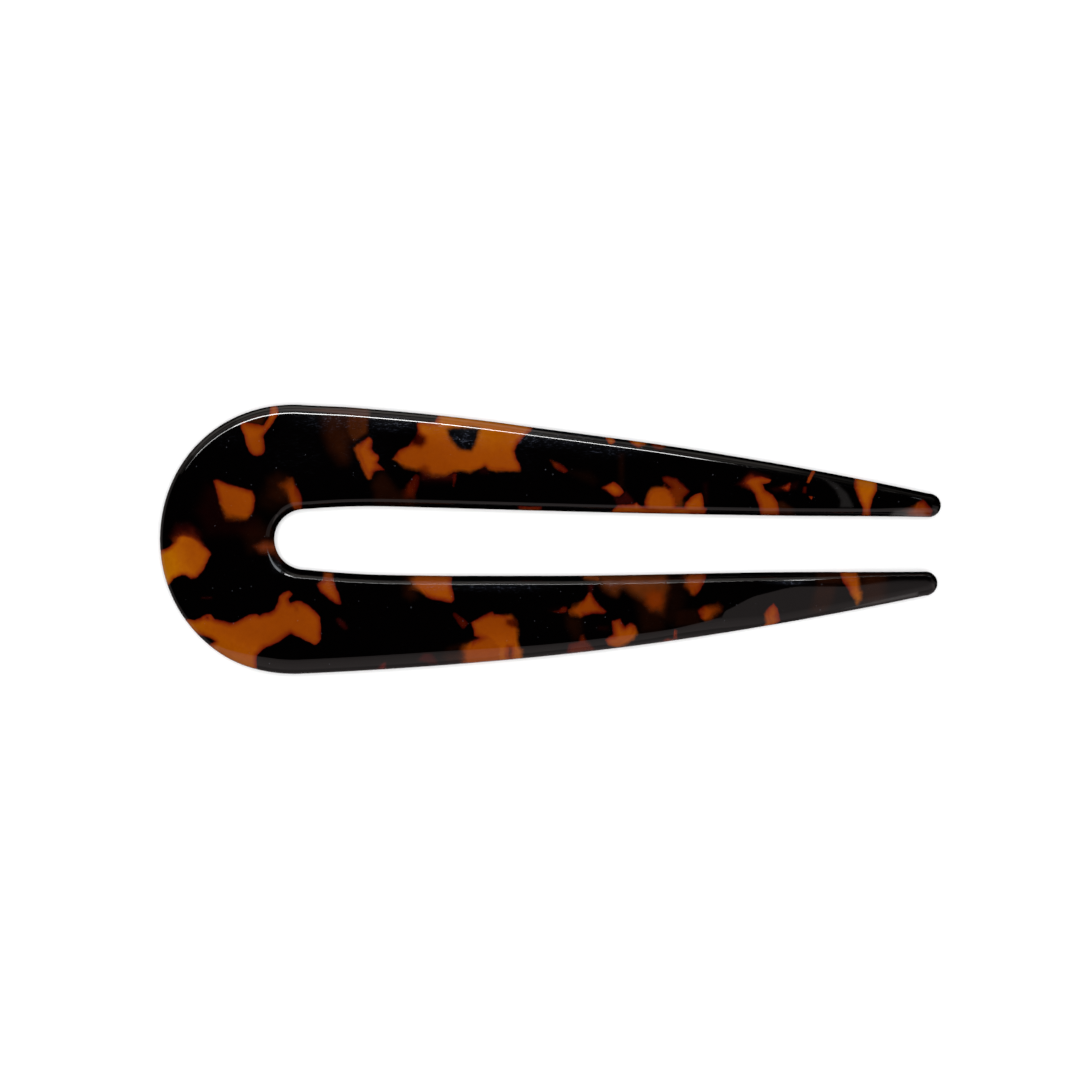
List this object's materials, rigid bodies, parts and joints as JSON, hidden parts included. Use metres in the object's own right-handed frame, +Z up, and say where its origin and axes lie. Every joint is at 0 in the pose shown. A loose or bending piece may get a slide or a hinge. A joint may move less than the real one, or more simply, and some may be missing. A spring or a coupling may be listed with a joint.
{
  "type": "hairpin",
  "caption": "Flat U-shaped hairpin in tortoiseshell-patterned acetate: a broad round head, a long slot and two tapering prongs that pin up a bun or twist.",
  "frame": {"origin": "middle of the bounding box at the underside, on the flat face that the pin lies on", "axes": "+X runs along the pin from the round head to the tips, +Y across it, +Z up out of the flat face"},
  "size_m": [0.11, 0.0378, 0.004],
  "materials": {
    "shell": "polished cellulose acetate, near-black brown with translucent brown clouds and amber flakes"
  },
  "bodies": {
    "root": {"pin": "shell"}
  },
  "joints": []
}
